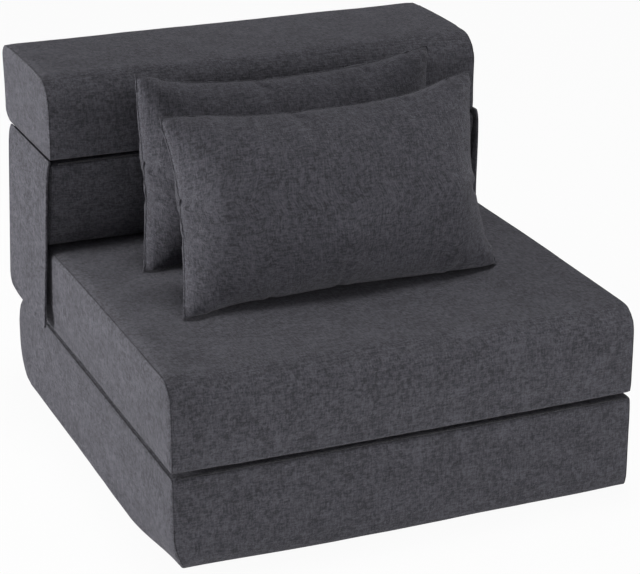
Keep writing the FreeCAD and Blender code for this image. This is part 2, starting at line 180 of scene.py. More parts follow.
world = bpy.data.worlds.new("studio")
scene.world = world
world.use_nodes = True
sky = world.node_tree
sky.nodes.clear()
shade = sky.nodes.new("ShaderNodeMix")
shade.data_type = "RGBA"
shade.inputs[6].default_value = WORLD_LIGHT
shade.inputs[7].default_value = (1, 1, 1, 1)
background = sky.nodes.new("ShaderNodeBackground")
end = sky.nodes.new("ShaderNodeOutputWorld")
sky.links.new(seen_directly(sky), shade.inputs[0])
sky.links.new(shade.outputs[2], background.inputs["Color"])
sky.links.new(background.outputs[0], end.inputs["Surface"])
scene.view_settings.view_transform = "Standard"
print("world that lights with", WORLD_LIGHT[:3])

# %% [markdown]
# ## Lamps
# Three soft lamps do the work. The strongest stands low at the chair's left, since that side is the
# brightest. A wide one hangs high above, and a weak one stands low in front, so that the front of the
# blocks isn't lost in the dark. None of them is seen by the camera.

# %% Lamps
LAMPS = {
    # name: watts, width and height, place, the point that it is aimed at
    "left_lamp": (62, (1.1, 0.6), (-2.6, 0.36, 0.42), (0, 0.05, 0.22)),
    "top_lamp": (96, (1.4, 1.4), (0.2, 0.2, 4.6), (0, 0.0, 0.2)),
    "low_front_lamp": (10.5, (1.8, 0.4), (0.2, -1.8, 0.36), (0, -0.38, 0.12)),
}

for name, (power, size, place, aim) in LAMPS.items():
    bpy.ops.object.select_all(action="DESELECT")
    bpy.ops.object.light_add(type="AREA", location=place)
    light = bpy.context.object
    light.name = name
    light.data.energy = power
    light.data.shape = "RECTANGLE"
    light.data.size, light.data.size_y = size
    light.rotation_euler = (Vector(aim) - Vector(place)).to_track_quat("-Z", "Y").to_euler()
    light.visible_camera = False
    print(name, power, "W")

# %% [markdown]
# ## Charcoal chenille
# The covers are woven from soft, uneven yarn. Close up the cloth is a fine grid, and from a step away it
# is a grey with short lighter and darker streaks along both directions of the weave, over wide blotches
# where the pile lies differently. One node group makes all of this from a position, so that every fabric
# on the chair shares it: stretched noise along each axis for the slubs, finer noise for the nap, a fine
# grid for the threads, and slow noise for the blotches.

# %% The chenille group
SLUB_CELLS = (95, 440)
NAP_CELLS, BLOTCH_CELLS = 150, 26
THREAD_PITCH = 0.0016
SLUB_SHARE, SLUB_MIDDLE = 1.6, -1.94
GRID_TONE, GRID_HEIGHT = 0.035, 0.25


def thread_wave(tree, axis):
    """A wave along one axis, from -1 to 1, once per thread."""
    turn = maths(tree, "MULTIPLY", axis, 2 * math.pi / THREAD_PITCH)
    return maths(tree, "SINE", turn)


def slub_noise(group, where, axis):
    """Streaks that are long on one axis and narrow on the other two."""
    along, across = SLUB_CELLS
    return stretched_noise(group, where, [along if k == axis else across for k in range(3)], 3)


def chenille_group():
    group, inside, outside = new_group(
        "chenille",
        [("Vector", "NodeSocketVector", None), ("Dark", "NodeSocketColor", (0.05, 0.05, 0.05, 1)),
         ("Light", "NodeSocketColor", (0.2, 0.2, 0.2, 1))],
        [("Color", "NodeSocketColor"), ("Height", "NodeSocketFloat")],
    )
    where = inside.outputs["Vector"]
    streaks = [slub_noise(group, where, axis) for axis in range(3)]
    slubs = maths(group, "ADD", maths(group, "ADD", streaks[0], streaks[1]), streaks[2])
    slubs = maths(group, "MULTIPLY_ADD", slubs, SLUB_SHARE, SLUB_MIDDLE)
    nap = stretched_noise(group, where, (NAP_CELLS,) * 3, 3, 0.6)
    blotches = stretched_noise(group, where, (BLOTCH_CELLS,) * 3, 3, 0.6)
    split = group.nodes.new("ShaderNodeSeparateXYZ")
    group.links.new(where, split.inputs[0])
    waves = [thread_wave(group, split.outputs[i]) for i in range(3)]
    grid = maths(group, "MULTIPLY", waves[0], waves[1])
    grid = maths(group, "MULTIPLY_ADD", waves[1], waves[2], grid)
    grid = maths(group, "MULTIPLY_ADD", waves[2], waves[0], grid)
    tone = maths(group, "MULTIPLY_ADD", blotches, 1.0, -0.5)
    tone = maths(group, "ADD", tone, slubs)
    tone = maths(group, "ADD", tone, maths(group, "MULTIPLY_ADD", nap, 2.0, -1.0))
    tone = maths(group, "MULTIPLY_ADD", grid, GRID_TONE, tone)
    tone = maths(group, "MINIMUM", maths(group, "MAXIMUM", tone, 0.0), 1.0)
    mix = group.nodes.new("ShaderNodeMix")
    mix.data_type = "RGBA"
    group.links.new(tone, mix.inputs[0])
    group.links.new(inside.outputs["Dark"], mix.inputs[6])
    group.links.new(inside.outputs["Light"], mix.inputs[7])
    height = maths(group, "MULTIPLY_ADD", grid, GRID_HEIGHT, slubs)
    group.links.new(mix.outputs[2], outside.inputs["Color"])
    group.links.new(height, outside.inputs["Height"])
    return group


CHENILLE = chenille_group()
print(CHENILLE.name, "with", len(CHENILLE.nodes), "nodes")

# %% Fabrics
FABRIC_SHADER = {
    "Roughness": 0.92, "Specular IOR Level": 0.2, "Sheen Weight": 0.22, "Sheen Roughness": 0.5,
    "Sheen Tint": (0.75, 0.74, 0.8, 1),
}
FABRICS = {
    # name: colour in the hollows of the pile and on its tips
    "cover_fabric": ((0.046, 0.045, 0.053), (0.120, 0.118, 0.138)),
    "flap_fabric": ((0.034, 0.033, 0.040), (0.128, 0.126, 0.147)),
    "pillow_fabric": ((0.043, 0.042, 0.050), (0.114, 0.112, 0.132)),
    # painted shade: near black, for the fold seams, whose gaps between the blocks lie in shade
    "painted_gap_shade": ((0.012, 0.012, 0.014), (0.035, 0.035, 0.038)),
    # painted shade: near black, for the thread that stands for the shade in the side panels' seam grooves
    "painted_groove_shade": ((0.014, 0.013, 0.017), (0.050, 0.049, 0.058)),
}


def surface(material, color, height, strength, depth, values):
    """Leads a colour and a height into a Principled shader; the other values are plain constants on it."""
    tree = material.node_tree
    relief = tree.nodes.new("ShaderNodeBump")
    relief.inputs["Strength"].default_value = strength
    relief.inputs["Distance"].default_value = depth
    tree.links.new(height, relief.inputs["Height"])
    shader = tree.nodes.new("ShaderNodeBsdfPrincipled")
    for socket, value in values.items():
        shader.inputs[socket].default_value = value
    tree.links.new(color, shader.inputs["Base Color"])
    tree.links.new(relief.outputs["Normal"], shader.inputs["Normal"])
    out = tree.nodes.new("ShaderNodeOutputMaterial")
    tree.links.new(shader.outputs[0], out.inputs["Surface"])
    return material


def fabric_material(name, dark, light):
    """Chenille by its place in space, or on a pillow by the cloth's own cut-out pattern."""
    material = new_material(name)
    tree = material.node_tree
    place = tree.nodes.new("ShaderNodeTexCoord")
    cloth = tree.nodes.new("ShaderNodeGroup")
    cloth.node_tree = CHENILLE
    cloth.inputs["Dark"].default_value = (*dark, 1)
    cloth.inputs["Light"].default_value = (*light, 1)
    tree.links.new(place.outputs["UV" if name == "pillow_fabric" else "Object"], cloth.inputs["Vector"])
    return surface(material, cloth.outputs["Color"], cloth.outputs["Height"], 0.9, 0.0009, FABRIC_SHADER)


fabrics = {name: fabric_material(name, *colors) for name, colors in FABRICS.items()}
print("fabrics:", list(fabrics))

# %% [markdown]
# ## Foam, filling, zips and hook-and-loop patches
# These pieces are hidden or small, but each keeps its own finish: open-cell foam is pale yellow with
# pores, the filling is white fibre, the zip tape is a tight twill with the coil's teeth across it, the
# slider is painted metal, and the patches have a fuzzy face. All are grained noise between two colours,
# at the scale of the real pores, fibres or threads.

# %% Small materials
SMALL_FINISHES = {
    # name: dark, light, cells per metre on each axis, depth of the relief, roughness, metal, detail
    "foam": ((0.62, 0.55, 0.33), (0.86, 0.80, 0.58), (500, 500, 500), 0.0008, 0.95, 0.0, 4.0),
    "pillow_filling": ((0.72, 0.72, 0.70), (0.93, 0.93, 0.92), (60, 60, 60), 0.004, 1.0, 0.0, 8.0),
    "zip_tape": ((0.012, 0.012, 0.014), (0.045, 0.045, 0.05), (1500, 300, 900), 0.0003, 0.8, 0.0, 4.0),
    "zip_metal": ((0.10, 0.10, 0.11), (0.16, 0.16, 0.17), (800, 800, 800), 0.00003, 0.38, 0.9, 4.0),
    "hook_and_loop": ((0.010, 0.010, 0.012), (0.05, 0.05, 0.055), (1400, 1400, 1400), 0.0006, 1.0, 0.0, 4.0),
}


def simple_material(name, dark, light, cells, depth, roughness, metallic, detail):
    """A noise-grained finish with its own two colours."""
    material = new_material(name)
    tree = material.node_tree
    place = tree.nodes.new("ShaderNodeTexCoord")
    grain = stretched_noise(tree, place.outputs["Object"], cells, detail, 0.65)
    ramp = tree.nodes.new("ShaderNodeValToRGB")
    for end, at, color in ((0, 0.35, dark), (1, 0.65, light)):
        ramp.color_ramp.elements[end].position = at
        ramp.color_ramp.elements[end].color = (*color, 1)
    tree.links.new(grain, ramp.inputs[0])
    values = {"Roughness": roughness, "Metallic": metallic}
    return surface(material, ramp.outputs[0], grain, 0.6, depth, values)


finishes = {name: simple_material(name, *row) for name, row in SMALL_FINISHES.items()}
slot_of = {row["node"]: row["material_slot"] for row in frame["record"]["subparts"]}
for name, node in nodes.items():
    # nodes without a finish of their own take the near-black painted shade of the fold seams
    finish = finishes.get(slot_of[name], fabrics["painted_gap_shade"])
    node.data.materials.clear()
    node.data.materials.append(finish)
print("finished", len(nodes), "nodes")

# %% [markdown]
# ## Tools for meshes
# The pieces are shaped with operators and modifiers, as by hand, and their fine forms by moving points in
# code. Operators act on what is selected, so each of these helpers first selects one piece alone.


# %% Operators on one piece
def only(piece):
    """Selects one object and makes it active."""
    bpy.ops.object.select_all(action="DESELECT")
    piece.hide_set(False)
    piece.select_set(True)
    bpy.context.view_layer.objects.active = piece


def apply_modifier(piece, kind, **settings):
    """Adds a modifier with these settings and applies it."""
    modifier = piece.modifiers.new(kind.lower(), kind)
    for key, value in settings.items():
        setattr(modifier, key, value)
    only(piece)
    bpy.ops.object.modifier_apply(modifier=modifier.name)


def edit_all(piece, operator, **settings):
    """Runs one operator of edit mode on the whole piece."""
    only(piece)
    bpy.ops.object.mode_set(mode="EDIT")
    bpy.ops.mesh.select_all(action="SELECT")
    operator(**settings)
    bpy.ops.object.mode_set(mode="OBJECT")


def new_grid(name, columns, rows):
    """A flat square of one metre, divided evenly, which is then moved into shape point by point."""
    bpy.ops.object.select_all(action="DESELECT")
    bpy.ops.mesh.primitive_grid_add(x_subdivisions=columns, y_subdivisions=rows, size=1)
    grid = bpy.context.object
    grid.name = name
    return grid


def thread_along(piece, radius, closed_ends=False):
    """Makes a piece that is only edges into a thin round thread along them."""
    only(piece)
    bpy.ops.object.convert(target="CURVE")
    piece.data.bevel_depth = radius
    piece.data.bevel_resolution = 1
    piece.data.use_fill_caps = closed_ends
    bpy.ops.object.convert(target="MESH")


def give_finish(piece, material, sharp=None):
    """Smooth shading, but sharp where faces turn by more than this many degrees, and one material."""
    only(piece)
    if sharp is None:
        bpy.ops.object.shade_smooth()
    else:
        bpy.ops.object.shade_smooth_by_angle(angle=math.radians(sharp))
    piece.data.materials.clear()
    piece.data.materials.append(material)


print("six helpers for operators")


# %% Points and noise
def rows_of(items, attribute):
    out = np.empty(len(items) * 3, np.float32)
    items.foreach_get(attribute, out)
    return out.reshape(-1, 3).astype(float)


def points_of(mesh):
    return rows_of(mesh.vertices, "co")


def normals_of(mesh):
    return rows_of(mesh.vertex_normals, "vector")


def set_points(mesh, co):
    mesh.vertices.foreach_set("co", np.ascontiguousarray(co, np.float32).ravel())
    mesh.update()


def smooth_step(value):
    value = np.clip(value, 0, 1)
    return value * value * (3 - 2 * value)


def waves_at(points, size, seed, depth=2):
    """Smooth noise from -1 to 1 at each point; size is the length of a wave in metres."""
    shift = Vector((seed * 7.13, seed * 3.71, seed * 5.17))
    return np.array([noise.fractal(Vector(p) / size + shift, 1.0, 2.0, depth) for p in points])


print("helpers for points and noise")

# %% [markdown]
# ## Covers that puff round their foam
# A cover is a little larger than its foam and is held in along its seams, so its panels crown between
# them. The sure way to get that shape is to start from the foam itself: copy its mesh, rebuild it as an
# even grid of squares, hold the points near the seams, and let a cloth simulation with air pressure push
# the rest out. How far a point may move is capped, because foam is firm.


# %% An even copy of a solid
def merged_copy(node, name):
    """A new object with a copy of a node's mesh, its loose triangles joined."""
    piece = bpy.data.objects.new(name, nodes[node].data.copy())
    scene.collection.objects.link(piece)
    edit_all(piece, bpy.ops.mesh.remove_doubles, threshold=0.00002)
    return piece


def even_grid(piece, voxel):
    only(piece)
    piece.data.remesh_voxel_size = voxel
    bpy.ops.object.voxel_remesh()


print("a node's mesh can be copied as even squares")

# %% Cloth with air inside
COVER_CLOTH = {
    "quality": 4, "mass": 0.05, "tension_stiffness": 8, "compression_stiffness": 8, "shear_stiffness": 4,
    "bending_stiffness": 0.3, "uniform_pressure_force": 4,
}
COVER_FRAMES = 16
COVER_CAP = 0.006


def run_cloth(piece, frames, values):
    """Adds a cloth simulation with air pressure and these values, runs it and applies its last frame."""
    cloth = piece.modifiers.new("air", "CLOTH")
    settings = cloth.settings
    for key, value in values.items():
        setattr(settings, key, value)
    settings.use_pressure = True
    settings.effector_weights.gravity = 0
    cloth.collision_settings.use_collision = False
    cloth.point_cache.frame_start = 1
    cloth.point_cache.frame_end = frames
    for step in range(1, frames + 1):
        scene.frame_set(step)
    only(piece)
    bpy.ops.object.modifier_apply(modifier=cloth.name)
    scene.frame_set(1)


def puff(piece, held):
    """Blows a cover up a little; held is how firmly each point stays, from 0 to 1."""
    start = points_of(piece.data)
    group = piece.vertex_groups.new(name="held")
    for weight in np.unique(held[held > 0]):
        group.add(np.nonzero(held == weight)[0].tolist(), float(weight), "REPLACE")
    run_cloth(piece, COVER_FRAMES, {**COVER_CLOTH, "vertex_group_mass": "held"})
    moved = points_of(piece.data) - start
    length = np.linalg.norm(moved, axis=1)
    print(f"{piece.name}: moved up to {length.max() * 1000:.1f} mm before the cap")
    moved *= np.minimum(1, COVER_CAP / np.maximum(length, 1e-9))[:, None]
    set_points(piece.data, start + moved)
    piece.vertex_groups.clear()


print("cloth for the covers:", COVER_CLOTH)

# %% [markdown]
# ## Edges of the covers
# The blocks' long edges are rounded, but where two blocks lie on each other the edges are nearly square,
# because the weight of one presses the other's seam flat. The simulation can't know that, so these edges
# are squared up afterwards: the quarter round is swapped for a rounder square, point by point. The base's
# lower front edge is the opposite. It has slumped with use, most of all at its left end, where the corner
# is also tucked in under the block.

# %% Squared and worn edges
FOLD_EDGES = {
    # block: its edges beside a fold, each as the end of y and the end of z that it lies at
    "base": [(0, 1)],
    "seat": [(0, 0), (1, 1)],
    "lower_back": [(1, 0), (0, 1)],
    "upper_back": [(0, 0)],
}
STACKED_ENDS = {
    # block: the ends of z where it lies on another block, whose side edges are nearly square
    "base": [1], "seat": [0], "lower_back": [0, 1], "upper_back": [0],
}
FOLD_REACH, PANEL_REACH = 0.008, 0.0062
EDGE_POWER = 6.0
TOE = {"reach": 0.044, "from": -0.10, "length": 0.24}
TUCK = {"height": 0.066, "depth": 0.022, "from": -0.19, "length": 0.18, "side": -0.20, "width": 0.15}


def square_edge(co, low, high, axis, end, z_end, reach):
    """Squares up a rounded edge: a power of 2 is a quarter round, and a higher one is nearer a corner."""
    edge, z_edge = (low[axis], high[axis])[end], (low[2], high[2])[z_end]
    du = reach - np.abs(co[:, axis] - edge)
    dw = reach - np.abs(co[:, 2] - z_edge)
    near = (du > 0) & (dw > 0)
    u, w = np.maximum(du, 1e-6), np.maximum(dw, 1e-6)
    corner = (u ** EDGE_POWER + w ** EDGE_POWER) ** (1 / EDGE_POWER)
    scale = np.where(near, np.hypot(u, w) / corner, 1.0)
    co[:, axis] += np.where(near, (-1, 1)[end] * u * (scale - 1), 0)
    co[:, 2] += np.where(near, (-1, 1)[z_end] * w * (scale - 1), 0)


def square_edges(block, co, low, high):
    for y_end, z_end in FOLD_EDGES[block]:
        square_edge(co, low, high, 1, y_end, z_end, FOLD_REACH)
    for z_end in STACKED_ENDS[block]:
        for x_end in (0, 1):
            square_edge(co, low, high, 0, x_end, z_end, PANEL_REACH)


def wear_toe(co, low):
    """Slumps the base's lower front edge more and more towards its left end, and tucks that corner in."""
    du = np.maximum(0, low[1] + TOE["reach"] - co[:, 1])
    dw = np.maximum(0, low[2] + TOE["reach"] - co[:, 2])
    distance = np.maximum(np.hypot(du, dw), 1e-6)
    pull = np.where((du > 0) & (dw > 0), np.minimum(1, TOE["reach"] / distance), 1)
    pull = 1 + (pull - 1) * smooth_step((TOE["from"] - co[:, 0]) / TOE["length"])
    to_front = smooth_step((TUCK["from"] - co[:, 1]) / TUCK["length"])
    to_floor = np.clip((TUCK["height"] - co[:, 2]) / TUCK["height"], 0, 1) ** 2
    to_side = smooth_step((TUCK["side"] - co[:, 0]) / TUCK["width"])
    co[:, 0] += TUCK["depth"] * to_floor * to_front * to_side
    co[:, 1] += du * (1 - pull)
    co[:, 2] += dw * (1 - pull)


print("edges to square:", sum(map(len, FOLD_EDGES.values())), "at folds")

# %% [markdown]
# ## The four covers
# Each block's cover is made the same way from its own foam: even squares, held seams, air, a little sag
# so that no panel is perfectly smooth, squared edges, and one subdivision.

# %% Block covers
BLOCKS = {
    # name: side of the grid's squares, seed of its unevenness
    "base": (0.008, 1),
    "seat": (0.008, 2),
    "lower_back": (0.0065, 3),
    "upper_back": (0.0065, 4),
}
SEAM_INSET = 0.0035
HOLD_REACH = 0.007
EDGE_NORMALS = (0.25, 0.97)
STACKED_REACH = 0.012
FABRIC = 0.0023
SEAM_SWELL = 0.0009
SAG_WAVES = (
    # length of a wave, what is added to the block's seed, depth
    (0.16, 0, 0.0014),
    (0.05, 9, 0.0006),
)


def held_seams(block, start, normals, low, high):
    """1 at the points along the side panels' seams, but not where a block lies on another one."""
    near_seam = np.abs(np.abs(start[:, 0]) - (high[0] - SEAM_INSET - FABRIC)) < HOLD_REACH
    facing_side = np.abs(normals[:, 0])
    on_edge = (facing_side > EDGE_NORMALS[0]) & (facing_side < EDGE_NORMALS[1])
    free = np.zeros(len(start), bool)
    for z_end in STACKED_ENDS[block]:
        free |= np.abs(start[:, 2] - (low[2], high[2])[z_end]) < STACKED_REACH
    return np.where(near_seam & on_edge & ~free, 1.0, 0.0)


def block_cover(block, voxel, seed):
    low, high = (np.array(corner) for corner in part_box(f"{block}_cover"))
    piece = merged_copy(f"{block}_foam", f"{block}_cover_dressed")
    even_grid(piece, voxel)
    mesh = piece.data
    start = points_of(mesh)
    normals = normals_of(mesh)
    set_points(mesh, start + normals * SEAM_SWELL)
    held = held_seams(block, start, normals, low, high)
    puff(piece, held)
    swell = ((points_of(mesh) - start) * normals).sum(1)
    co = start + normals * np.clip(swell, 0, FABRIC - 0.0001)[:, None]
    sag = sum((waves_at(co, length, seed + more) * 0.5 - 0.5) * depth for length, more, depth in SAG_WAVES)
    co += normals * sag[:, None]
    square_edges(block, co, low, high)
    set_points(mesh, np.clip(co, low + 0.00005, high - 0.00005))
    apply_modifier(piece, "SUBSURF", levels=1, render_levels=1)
    return piece


covers = {name: block_cover(name, *row) for name, row in BLOCKS.items()}
print("covers:", list(covers))

# %% [markdown]
# ## Foam cores
# The foam is a plain block with softly broken edges. It is made from the same node on a coarser grid and
# drawn in a little, so that it never comes through its cover, and at the worn toe it gives way with it.

# %% Foam cores
FOAM_VOXEL, FOAM_INSET = 0.016, 0.006


def core(node, material_name, voxel, inset):
    piece = merged_copy(node, f"{node}_core")
    even_grid(piece, voxel)
    co = points_of(piece.data) - normals_of(piece.data) * inset
    if node == "base_foam":
        wear_toe(co, co.min(0))
    set_points(piece.data, co)
    give_finish(piece, finishes[material_name])
    return piece


for block in BLOCKS:
    foam = core(f"{block}_foam", "foam", FOAM_VOXEL, FOAM_INSET)
    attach(foam, block)
    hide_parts(f"{block}_foam")
    print(foam.name, len(foam.data.polygons), "faces")

# %% [markdown]
# ## Openings for the zips
# Each cover has a zip along the middle of its rear, and each pillow has one along its lower side. The
# cover is cut open there with a boolean, down to the level of the tape, so that the tape, its coil and the
# slider show in the opening.

# %% Openings for the zips
TAPE_END = 0.008
TAPE_SIDE = 0.006
COIL_SINK = 0.0015
MOUTH_DEPTH = 0.0033
CUTTER = 0.03


def zip_mouth(piece, tape, outward, skip=0.0):
    """Cuts the opening over a zip's tape; outward is 1 for a zip facing the rear, 2 for one facing down.
    The length that skip says stays closed at the left end."""
    low, high = (list(corner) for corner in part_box(tape))
    low[0] += skip
    size = [high[i] - low[i] for i in range(3)]
    middle = [(high[i] + low[i]) / 2 for i in range(3)]
    size[0] -= 2 * TAPE_END
    size[3 - outward] -= 2 * TAPE_SIDE
    size[outward] = CUTTER
    if outward == 1:
        middle[1] = high[1] + COIL_SINK - MOUTH_DEPTH + CUTTER / 2
    else:
        middle[2] = low[2] - COIL_SINK + MOUTH_DEPTH - CUTTER / 2
    bpy.ops.object.select_all(action="DESELECT")
    bpy.ops.mesh.primitive_cube_add(size=1, location=middle, scale=size)
    cutter = bpy.context.object
    bpy.ops.object.transform_apply(location=True, scale=True)
    apply_modifier(piece, "BOOLEAN", operation="DIFFERENCE", object=cutter, solver="MANIFOLD")
    bpy.data.objects.remove(cutter)


print("a zip's opening is", MOUTH_DEPTH * 1000, "mm deep")

# %% [markdown]
# ## Sewn edges of the side panels
# The side panels are sewn on, and the seam shows as a thin dark line all round each of them. That line
# is the shade in the seam's groove, and here it is painted as a near-black thread. An upright plane cuts
# the cover where the seam runs, the cut becomes a curve, and the curve gets the thickness of a thread. The
# line follows every swell of the cover that way.

# %% Finish the covers
STITCH_INSET = 0.0056
STITCH_RADIUS = 0.0007


def seam_shade_ring(piece, x, name):
    """A near-black thread where the upright plane at x cuts the piece, painted shade for the seam's groove.
    """
    ring = bpy.data.objects.new(name, piece.data.copy())
    scene.collection.objects.link(ring)
    edit_all(ring, bpy.ops.mesh.bisect, plane_co=(x, 0, 0), plane_no=(1, 0, 0),
             clear_inner=True, clear_outer=True)
    thread_along(ring, STITCH_RADIUS)
    # painted shade: this near-black thread shows the groove of the seam
    give_finish(ring, fabrics["painted_groove_shade"])
    return ring


for block, piece in covers.items():
    low, high = (np.array(corner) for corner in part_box(f"{block}_cover"))
    rings = [seam_shade_ring(piece, side * (high[0] - STITCH_INSET), f"{block}_{side_name}_painted_groove_shade")
             for side, side_name in ((-1, "left"), (1, "right"))]
    if block == "base":
        for part in (piece, *rings):
            co = points_of(part.data)
            wear_toe(co, low)
            set_points(part.data, co)
    for ring in rings:
        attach(ring, block)
    zip_mouth(piece, f"{block}_zip", outward=1)
    give_finish(piece, fabrics["cover_fabric"], sharp=50)
    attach(piece, block)
    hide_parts(f"{block}_cover")
    print(f"{piece.name}: {len(piece.data.polygons)} faces")

# %% [markdown]
# ## Folding seams
# Two blocks that fold on each other are joined by a gathered strip of the cover fabric, sewn along both
# edges of the fold. From outside it is only a dark line between the blocks, the shade in the gap between
# them. It is a narrow strip here, with small even gathers, standing back from the faces that it joins, and
# it is painted near black for that shade.

# %% Folding seams
FOLD_SEAMS = {
    # node: body, side of the chair that it faces along y
    "base_seat_fold_seam": ("seat", -1),
    "seat_back_fold_seam": ("seat", 1),
    "back_halves_fold_seam": ("lower_back", -1),
}
STRIP_GRID = (672, 4)
STRIP_END = 0.001
STRIP_HALF_HEIGHT = 0.0011
STRIP_SHEET = 0.0005
SET_BACK, EDGE_CURL = 0.0016, 0.0007
GATHER = 0.0075
GATHER_DEPTH, GATHER_RISE = 0.00025, 0.0001


def fold_seam(node, facing):
    """A strip across the chair with small gathers, inside the node's own space."""
    low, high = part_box(node)
    strip = new_grid(f"{node}_dressed", *STRIP_GRID)
    co = points_of(strip.data)
    x, across = co[:, 0] * (high[0] - low[0] - 2 * STRIP_END), co[:, 1] * 2
    outer = high[1] if facing > 0 else low[1]
    wave = np.sin(x * 2 * math.pi / GATHER) + 0.4 * np.sin(x * 2 * math.pi / (GATHER * 2.7) + 1)
    y = outer - facing * (SET_BACK + EDGE_CURL * across ** 2 + GATHER_DEPTH * wave)
    z = (low[2] + high[2]) / 2 + across * STRIP_HALF_HEIGHT + GATHER_RISE * wave
    set_points(strip.data, np.stack([x, y, z], axis=1))
    apply_modifier(strip, "SOLIDIFY", thickness=STRIP_SHEET, offset=0.0)
    edit_all(strip, bpy.ops.mesh.normals_make_consistent, inside=False)
    # painted shade: the strip is cover fabric, coloured near black for the shade in the gap
    give_finish(strip, fabrics["painted_gap_shade"], sharp=50)
    return strip


for node, (body, facing) in FOLD_SEAMS.items():
    strip = fold_seam(node, facing)
    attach(strip, body)
    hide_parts(node)
    print(strip.name, len(strip.data.polygons), "faces")

# %% [markdown]
# ## Zip tapes and coils
# A zip is two woven tapes that meet under a coil of small teeth. The tape is a thin strip with a slight
# ripple along its edges, and the teeth are one small block copied along the zip, each row half a step
# behind the other. It is made lying flat, with the level of the coil's top at zero, and then turned to
# face the rear or the floor.

# %% Zip tapes and coils
TAPE_GRID = (60, 8)
TAPE_SHEET, TAPE_LEVEL = 0.0005, -0.0009
TAPE_RIPPLE = {"height": 0.00022, "turns": 90, "from": 0.3}
TOOTH_SIZE = (0.0011, 0.0023, 0.0006)
TOOTH_STEP, TOOTH_EDGE = 0.0026, 0.0002
TOOTH_LEVEL, ROW_OFFSET = -0.0003, 0.00118
BARE_TAPE = 0.020


def flat_tape(name, length, breadth):
    tape = new_grid(name, *TAPE_GRID)
    co = points_of(tape.data)
    x, across = co[:, 0] * length, co[:, 1] * breadth
    at_edge = np.abs(across) > breadth * TAPE_RIPPLE["from"]
    level = TAPE_LEVEL + TAPE_RIPPLE["height"] * np.sin(x * TAPE_RIPPLE["turns"]) * at_edge
    set_points(tape.data, np.stack([x, across, level], axis=1))
    apply_modifier(tape, "SOLIDIFY", thickness=TAPE_SHEET, offset=0.0)
    return tape


def coil_rows(length):
    """Two rows of teeth, one object each, as long as the zip but for its bare ends."""
    bpy.ops.object.select_all(action="DESELECT")
    bpy.ops.mesh.primitive_cube_add(size=1, scale=TOOTH_SIZE, location=(0, 0, 0))
    first = bpy.context.object
    bpy.ops.object.transform_apply(location=False, scale=True)
    apply_modifier(first, "BEVEL", width=TOOTH_EDGE, segments=1)
    count = int((length - BARE_TAPE) / TOOTH_STEP)
    apply_modifier(first, "ARRAY", count=count, use_relative_offset=False, use_constant_offset=True,
                   constant_offset_displace=(TOOTH_STEP, 0, 0))
    rows = points_of(first.data)
    rows += np.array([-(count - 1) * TOOTH_STEP / 2, 0, TOOTH_LEVEL])
    set_points(first.data, rows + np.array([0, ROW_OFFSET, 0]))
    only(first)
    bpy.ops.object.duplicate()
    second = bpy.context.object
    set_points(second.data, rows + np.array([TOOTH_STEP / 2, -ROW_OFFSET, 0]))
    return first, second


def zip_tape(node, faces_down):
    """Tapes and teeth inside the node's own space; the coil faces the rear or down."""
    low, high = (np.array(corner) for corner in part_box(node))
    middle, size = (low + high) / 2, high - low
    tape = flat_tape(f"{node}_dressed", size[0], size[1] if faces_down else size[2])
    rows = coil_rows(size[0])
    only(tape)
    for row in rows:
        row.select_set(True)
    bpy.ops.object.join()
    x, across, level = points_of(tape.data).T
    if faces_down:
        co = np.stack([middle[0] + x, middle[1] - across, low[2] - level], axis=1)
    else:
        co = np.stack([middle[0] - x, high[1] + level, middle[2] + across], axis=1)
    set_points(tape.data, co)
    edit_all(tape, bpy.ops.mesh.normals_make_consistent, inside=False)
    give_finish(tape, finishes["zip_tape"], sharp=40)
    return tape


for node in [name for name in nodes if name.endswith("_zip")]:
    tape = zip_tape(node, faces_down="pillow" in node)
    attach(tape, node[:-len("_zip")])
    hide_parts(node)
    print(tape.name, len(tape.data.polygons), "faces")

# %% [markdown]
# ## Pillows
# A lumbar pillow is two flat rectangles sewn together and stuffed, and that is how these are made. Two
# grids are joined at their rims, and the cloth simulation blows them up to the pillow's volume. Sewn
# cloth can't stretch, so the long sides draw in, the corners stay flat as dog ears, and folds run from
# the rim towards the middle.

# %% Pillow values
PILLOW_SIZE = np.array([0.475, 0.280, 0.145])
PILLOW_CUT = (0.505, 0.312)
PILLOW_VOLUME = 0.0080
PILLOW_COLUMNS = 96
SHEET_GAP, REAR_SHEET = 0.003, -0.001
PILLOW_WAIST = {"top": 0.018, "bottom": 0.003, "sides": 0.011, "corner": 0.001}
RIM_EVENNESS = np.array([0.93, 0.93, 0.8])
RIM = 1 - 1e-4
PUCKER = (0.07, 0.0016)
CHAIR_MIDDLE = 0.3865
PILLOW_CORNERS = {
    # name: each corner's side and end, how far it reaches, and how far it lies right, up and forward
    "front_pillow": [((-1, 1), 0.035, (-0.003, -0.002, 0.004)), ((1, 1), 0.070, (0.006, 0.010, -0.006)),
                     ((1, -1), 0.060, (0.010, 0.0, 0.004)), ((-1, -1), 0.046, (-0.014, -0.004, 0.032))],
    "back_pillow": [((-1, 1), 0.052, (0.004, 0.013, 0.012)), ((1, 1), 0.060, (-0.002, 0.004, 0.0)),
                    ((1, -1), 0.060, (0.004, 0.0, 0.0)), ((-1, -1), 0.046, (-0.008, 0.0, 0.026))],
}
PILLOWS = {
    # name: lower edge from the front fold, lean in degrees, shift across, height of the seat under it
    "front_pillow": (0.232, 18, -0.008, 0.2922),
    "back_pillow": (0.425, 7, -0.006, 0.2912),
}
print("pillows of", PILLOW_SIZE * 1000, "mm, cut", PILLOW_CUT, "m")


